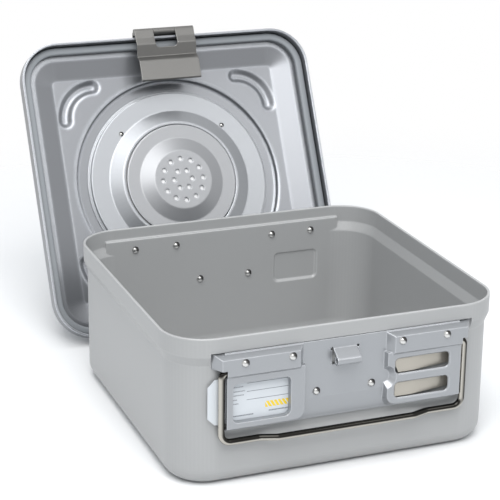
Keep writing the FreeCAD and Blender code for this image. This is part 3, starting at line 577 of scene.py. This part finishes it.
def rim_loop(form, inset, height):
    """Vertices of a rounded rectangle on the lid, one inset and one height."""
    loop = []
    for number, (sign_x, sign_y) in enumerate(((1, 1), (-1, 1), (-1, -1), (1, -1))):
        middle = (sign_x * (gasket_half_x - gasket_corner), sign_y * (gasket_half_y - gasket_corner))
        for step in range(corner_steps + 1):
            angle = math.radians(90 * (number + step / corner_steps))
            radius = gasket_corner - inset
            point = (middle[0] + radius * math.cos(angle), middle[1] + radius * math.sin(angle), height)
            loop.append(form.verts.new(on_lid(point)))
    return loop


def join_loops(form, loops):
    """Bands of faces from each loop of vertices to the next, and from the last back to the first."""
    for outer, inner in zip(loops, loops[1:] + loops[:1]):
        for number in range(len(outer)):
            after = (number + 1) % len(outer)
            form.faces.new((outer[number], outer[after], inner[after], inner[number]))


def piece_from(form, name, body, paint):
    """Finish a bmesh form as a smooth piece that rides on a body."""
    bmesh.ops.remove_doubles(form, verts=form.verts, dist=1e-7)
    loose = [edge for edge in form.edges if not edge.link_faces]
    bmesh.ops.delete(form, geom=loose, context="EDGES")
    bmesh.ops.recalc_face_normals(form, faces=form.faces)
    mesh = bpy.data.meshes.new(name)
    form.to_mesh(mesh)
    form.free()
    for face in mesh.polygons:
        face.use_smooth = True
    mesh.materials.append(paint)
    piece = bpy.data.objects.new(name, mesh)
    scene.collection.objects.link(piece)
    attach(piece, body)
    return piece


seal_form = bmesh.new()
join_loops(seal_form, [rim_loop(seal_form, inset, height) for inset, height in gasket_section])
seal = piece_from(seal_form, "crowned_seal", "lid", gasket_rubber)
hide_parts("lid_gasket")


# The filter ring, the cover and the filter
# Ring and dished cover are spun from aluminium sheet, so fine circles run round them. The pale filter
# cloth is pressed close behind the cover's holes; its section is given as radius and height above the rim.
def spun_metal(name, tone, metallic, roughness, edge_round):
    """Satin metal with fine circles about the filter's axis; its bends are painted brighter, partly as wear
    and partly as a painted highlight.
    """
    paint = satin_metal(name, tone,
                        metallic=metallic, roughness=roughness, grain_depth=0.05,
                        cloud=0.05, edge_round=edge_round, edge_wear_and_highlight=1.8)
    nodes = paint.node_tree.nodes
    links = paint.node_tree.links
    bsdf = nodes["Principled BSDF"]
    place = nodes.new("ShaderNodeTexCoord")
    centred = nodes.new("ShaderNodeMapping")
    centred.vector_type = "TEXTURE"
    centred.inputs["Location"].default_value = lid_place.translation
    centred.inputs["Rotation"].default_value = (-(math.pi / 2 + lid_lean), 0, 0)
    flat = nodes.new("ShaderNodeVectorMath")
    flat.operation = "MULTIPLY"
    flat.inputs[1].default_value = (1, 1, 0)
    radius = nodes.new("ShaderNodeVectorMath")
    radius.operation = "LENGTH"
    circles = nodes.new("ShaderNodeTexNoise")
    circles.noise_dimensions = "1D"
    circles.inputs["Scale"].default_value = 1500.0
    circles.inputs["Detail"].default_value = 2.0
    raised = nodes.new("ShaderNodeBump")
    raised.inputs["Strength"].default_value = 0.10
    raised.inputs["Distance"].default_value = 0.0002
    links.new(place.outputs["Object"], centred.inputs["Vector"])
    links.new(centred.outputs[0], flat.inputs[0])
    links.new(flat.outputs[0], radius.inputs[0])
    links.new(radius.outputs["Value"], circles.inputs["W"])
    links.new(circles.outputs["Fac"], raised.inputs["Height"])
    links.new(nodes["surface"].outputs["Normal"], raised.inputs["Normal"])
    links.new(raised.outputs["Normal"], bsdf.inputs["Normal"])
    return paint


ring_metal = spun_metal("ring_spun", (0.29, 0.30, 0.315), metallic=0.65, roughness=0.33, edge_round=0.0018)
dress(["filter_ring"], ring_metal)
cover_metal = spun_metal("cover_spun", (0.27, 0.275, 0.285), metallic=0.50, roughness=0.36, edge_round=0.0022)
dress(["filter_cover"], cover_metal)

filter_cloth = satin_metal("filter_cloth", (0.82, 0.82, 0.82),
                           metallic=0.0, roughness=0.85, grain_depth=0.3,
                           cloud=0.08, edge_round=0.0003, edge_wear_and_highlight=0.0)
cloth_section = ((0.0569, 0.01695), (0.0538, 0.01695), (0.0510, 0.0154), (0.0432, 0.0154), (0.0298, 0.0109),
                 (0.0, 0.0109), (0.0, 0.0101), (0.0302, 0.0101), (0.0436, 0.0146), (0.0513, 0.0146),
                 (0.0541, 0.0162), (0.0569, 0.0162))
cloth_turns = 96
cloth_form = bmesh.new()
cloth_rings = []
for radius, height in cloth_section:
    cloth_ring = []
    for turn in range(cloth_turns):
        angle = 2 * math.pi * turn / cloth_turns
        point = (radius * math.cos(angle), radius * math.sin(angle), height)
        cloth_ring.append(cloth_form.verts.new(on_lid(point)))
    cloth_rings.append(cloth_ring)
join_loops(cloth_form, cloth_rings)
cloth = piece_from(cloth_form, "pressed_filter", "lid", filter_cloth)
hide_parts("filter_disc")


# The latches
# Folded steel plates that turn on pins in riveted brackets. The steel is warmer and darker than the
# aluminium.
latch_metal = satin_metal("latch_steel", (0.145, 0.143, 0.138),
                          metallic=0.80, roughness=0.30, grain_depth=0.06,
                          cloud=0.05, edge_round=0.0009, edge_wear_and_highlight=1.2)
dress(["front_latch", "rear_latch", "front_latch_bracket", "rear_latch_bracket", "front_latch_pin",
       "rear_latch_pin"], latch_metal)
